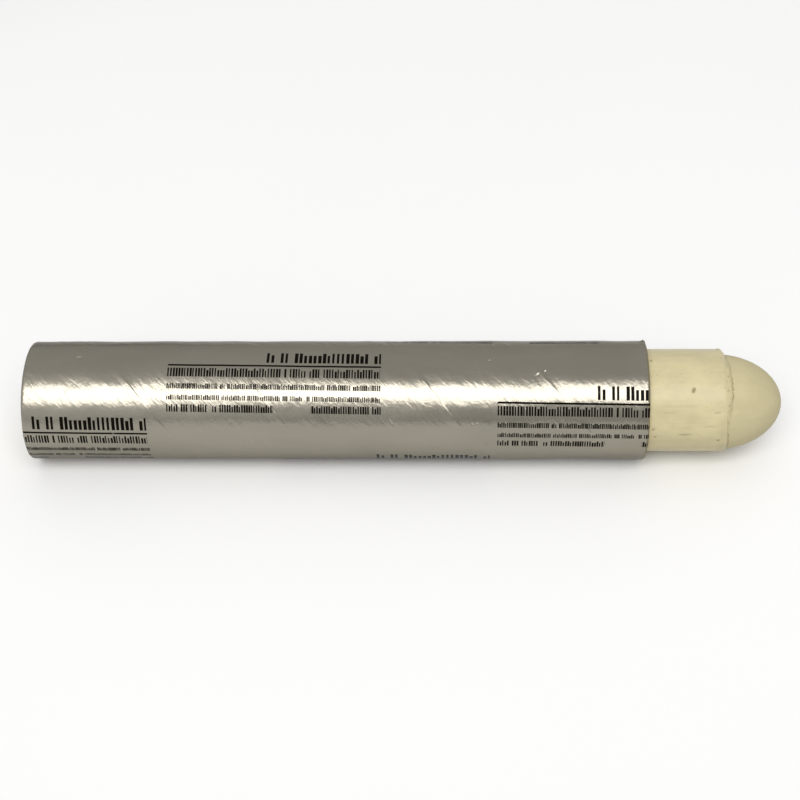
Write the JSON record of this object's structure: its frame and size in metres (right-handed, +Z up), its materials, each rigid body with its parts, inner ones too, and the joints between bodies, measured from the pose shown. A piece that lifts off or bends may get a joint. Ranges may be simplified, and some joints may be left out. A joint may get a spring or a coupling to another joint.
{
  "type": "tire marking crayon",
  "caption": "Fat round paint crayon: a cream bullet-nosed stick of solid paint that slides in a spiral-wound paper sleeve under a silver foil label, for marking tires.",
  "frame": {"origin": "under the middle of the crayon, on the surface it lies on", "axes": "+X along the crayon towards its nose, +Z up"},
  "size_m": [0.1206, 0.0191, 0.0189],
  "materials": {
    "solid_paint": "waxy cream solid paint, satin, with small pits and scuffs",
    "greaseproof_paper": "pale glazed paper made of wood pulp",
    "kraft_paper": "matt brown kraft paper made of wood pulp",
    "printed_foil": "satin silver foil laminated to paper, with black print"
  },
  "bodies": {
    "sleeve": {"liner_ply": "greaseproof_paper", "inner_kraft_ply": "kraft_paper", "outer_kraft_ply": "kraft_paper", "foil_label": "printed_foil"},
    "stick": {"paint_stick": "solid_paint"}
  },
  "joints": [
    {"name": "stick_slide", "type": "slide", "parent": "sleeve", "child": "stick", "axis": [1, 0, 0], "range_m": [-0.001, 0.064]}
  ]
}
